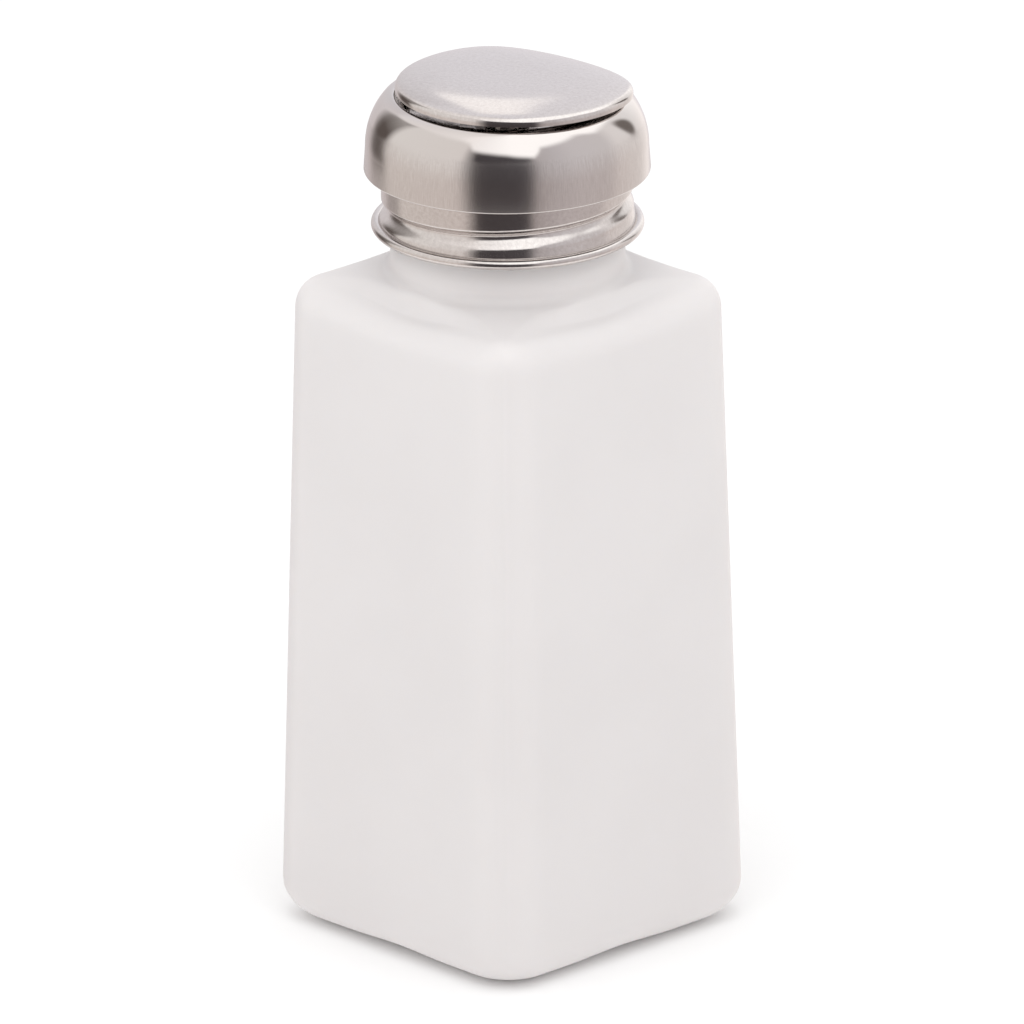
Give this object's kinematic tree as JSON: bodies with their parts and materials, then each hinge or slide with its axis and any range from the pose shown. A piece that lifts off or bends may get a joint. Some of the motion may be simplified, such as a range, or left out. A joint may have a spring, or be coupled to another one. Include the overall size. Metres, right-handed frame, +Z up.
{
  "type": "pump dispenser bottle",
  "caption": "Square translucent plastic bottle with a screw-on steel pump head: a sprung dish under a hinged lid lifts liquid when pressed",
  "frame": {"origin": "centre of the base, on the surface the bottle stands on", "axes": "+Z up along the bottle; the four flat sides face +X, -X, +Y and -Y; the lid's hinge is 7 degrees round from +Y towards -X"},
  "size_m": [0.0548, 0.0548, 0.1375],
  "materials": {
    "natural_polyethylene": "translucent natural polyethylene, semi-matte, blow-moulded",
    "brushed_stainless_steel": "stainless sheet, brushed round the skirt and polished on the crown",
    "white_acetal": "white moulded acetal",
    "foamed_polyethylene": "foamed liner sheet",
    "black_nitrile_rubber": "black nitrile rubber"
  },
  "bodies": {
    "bottle": {"bottle": "natural_polyethylene"},
    "cap_rise": {"neck_gasket": "foamed_polyethylene"},
    "cap": {"threaded_collar": "brushed_stainless_steel", "dome_ring": "brushed_stainless_steel", "well_cup": "brushed_stainless_steel", "hinge_bracket": "brushed_stainless_steel", "hinge_pin": "brushed_stainless_steel", "pump_barrel": "white_acetal", "barrel_washer": "brushed_stainless_steel", "barrel_nut": "white_acetal", "guide_bushing": "white_acetal", "stem_o_ring": "black_nitrile_rubber", "inlet_valve_seat": "white_acetal", "inlet_ball_cage": "white_acetal", "dip_tube": "natural_polyethylene", "return_spring": "brushed_stainless_steel"},
    "lid": {"lid_disc": "brushed_stainless_steel", "lid_leaf": "brushed_stainless_steel"},
    "plunger": {"pump_dish": "brushed_stainless_steel", "dish_hub": "white_acetal", "outlet_cap": "brushed_stainless_steel", "plunger_stem": "brushed_stainless_steel", "piston": "white_acetal", "piston_seal": "black_nitrile_rubber"},
    "inlet_valve": {"inlet_ball": "brushed_stainless_steel"},
    "outlet_valve": {"outlet_ball": "brushed_stainless_steel"}
  },
  "joints": [
    {"name": "cap_lift", "type": "slide", "parent": "bottle", "child": "cap_rise", "axis": [0, 0, 1], "range_m": [0, 0.0064]},
    {"name": "cap_turn", "type": "hinge", "parent": "cap_rise", "child": "cap", "pos_m": [0, 0, 0.1232], "axis": [0, 0, 1], "range_deg": [0, 540]},
    {"name": "lid_hinge", "type": "hinge", "parent": "cap", "child": "lid", "pos_m": [-0.00218, 0.01776, 0.13361], "axis": [-0.9925, -0.1219, 0], "range_deg": [-0.6, 105]},
    {"name": "plunger_press", "type": "slide", "parent": "cap", "child": "plunger", "axis": [0, 0, -1], "range_m": [0, 0.0042], "stiffness_N_per_m": 300, "springref_m": -0.006, "deforming": ["return_spring"]},
    {"name": "inlet_ball_lift", "type": "slide", "parent": "cap", "child": "inlet_valve", "axis": [0, 0, 1], "range_m": [0, 0.0012]},
    {"name": "outlet_ball_lift", "type": "slide", "parent": "plunger", "child": "outlet_valve", "axis": [0, 0, 1], "range_m": [0, 0.0008]}
  ],
  "couplings": [
    {"joint": "cap_lift", "follows": "cap_turn", "m_per_rad": 0.00067376}
  ]
}
